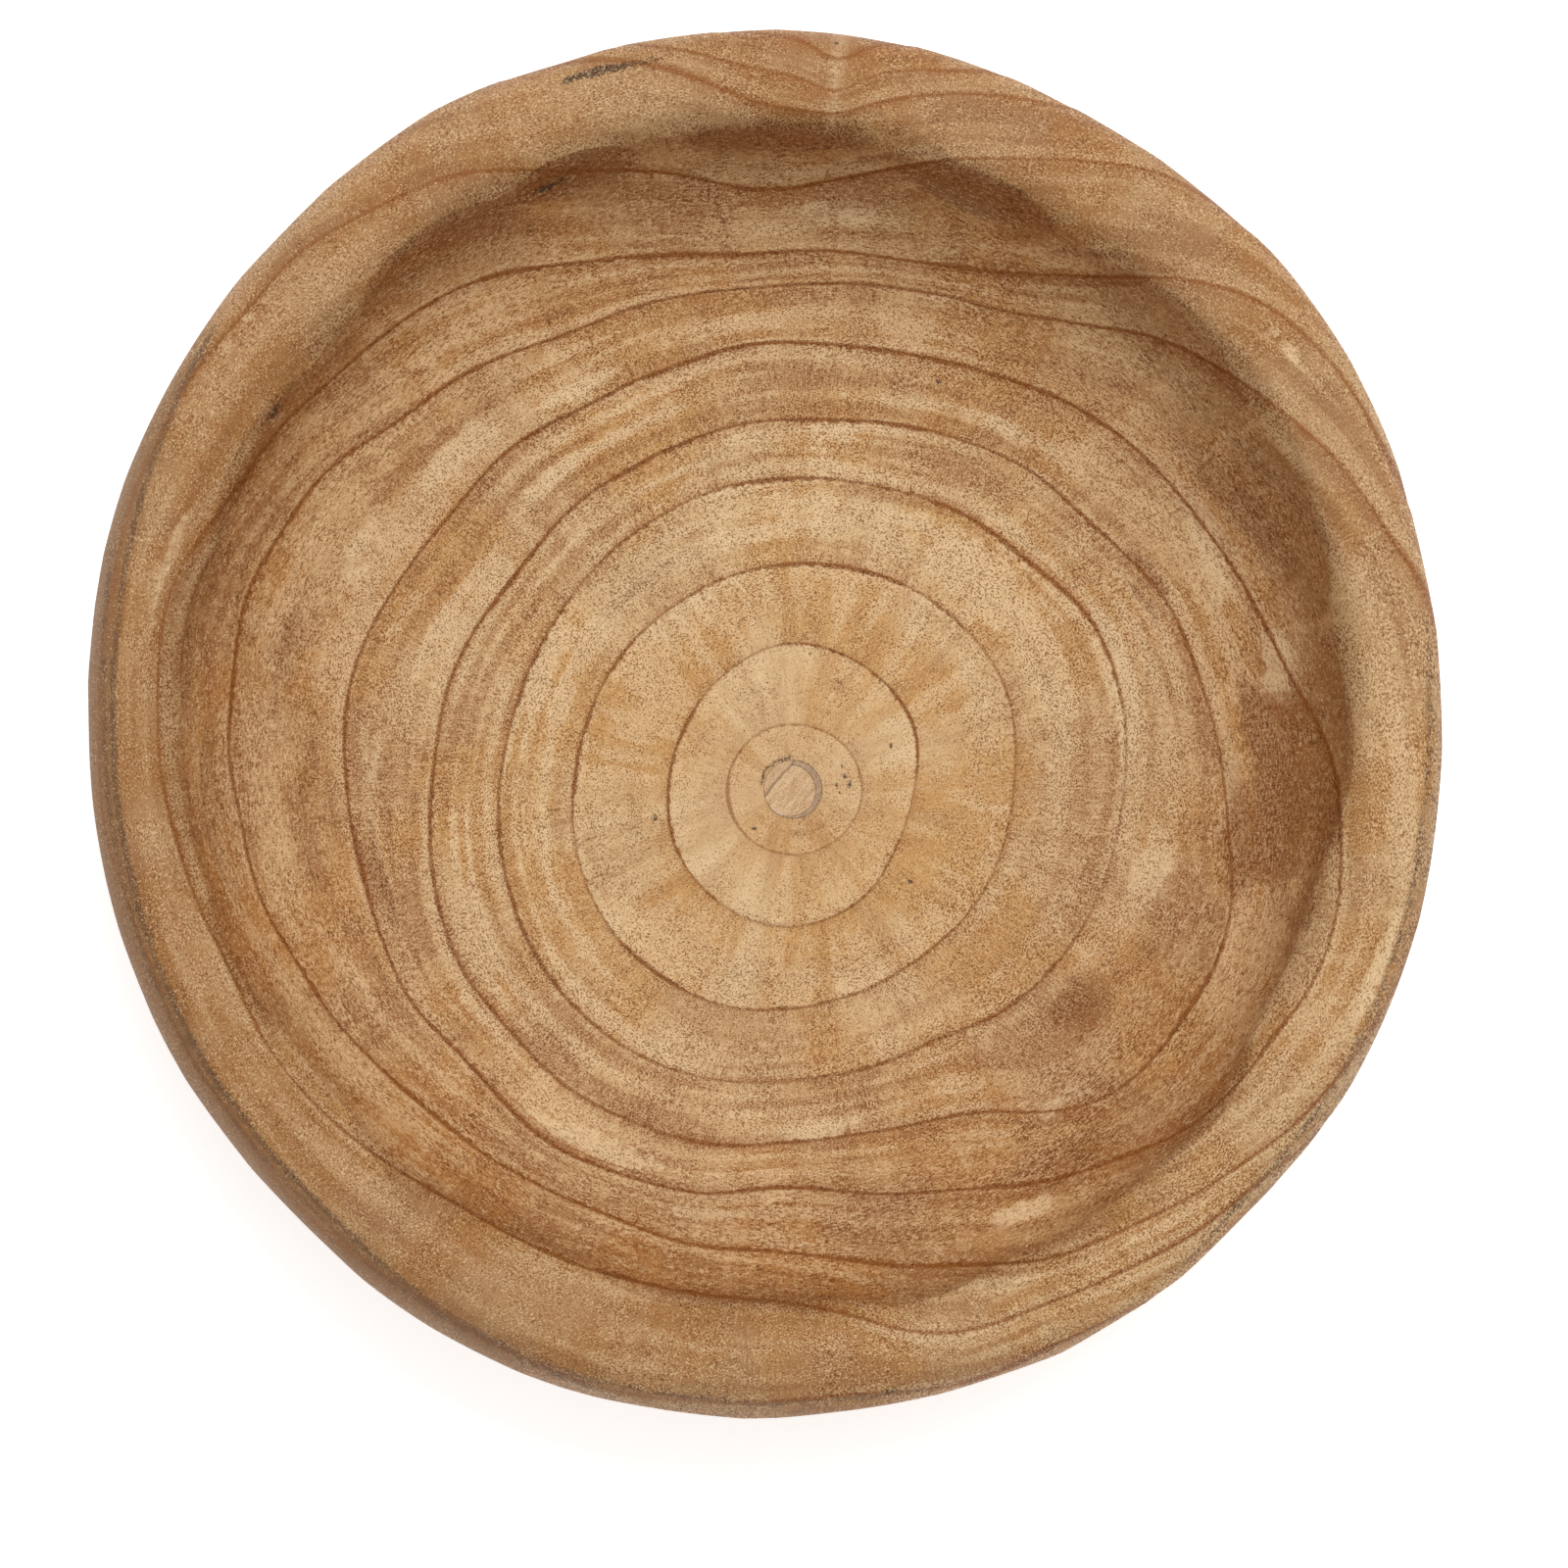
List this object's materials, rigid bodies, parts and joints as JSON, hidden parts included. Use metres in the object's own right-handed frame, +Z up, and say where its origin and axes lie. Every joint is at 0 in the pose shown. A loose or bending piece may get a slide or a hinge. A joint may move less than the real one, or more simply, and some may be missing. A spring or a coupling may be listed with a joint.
{
  "type": "dough bowl",
  "caption": "Round thick-walled wooden dough bowl, hand-carved from an upright log, with a broad rounded rim, growth rings and a plugged pith in its flat floor.",
  "frame": {"origin": "on the foot's plane, under the middle of the bowl's plan", "axes": "+Z up out of the hollow, +Y towards the far side of the rim where the branch trace is, +X to the right"},
  "size_m": [0.3808, 0.3904, 0.104],
  "materials": {
    "bowl_wood": "bare, burnt-brushed end grain with growth rings",
    "peg_wood": "bare, sanded end grain",
    "filler": "dull wood-dust filler"
  },
  "bodies": {
    "root": {"bowl_body": "bowl_wood", "pith_peg": "peg_wood", "pith_sliver": "peg_wood", "pith_filler": "filler"}
  },
  "joints": []
}
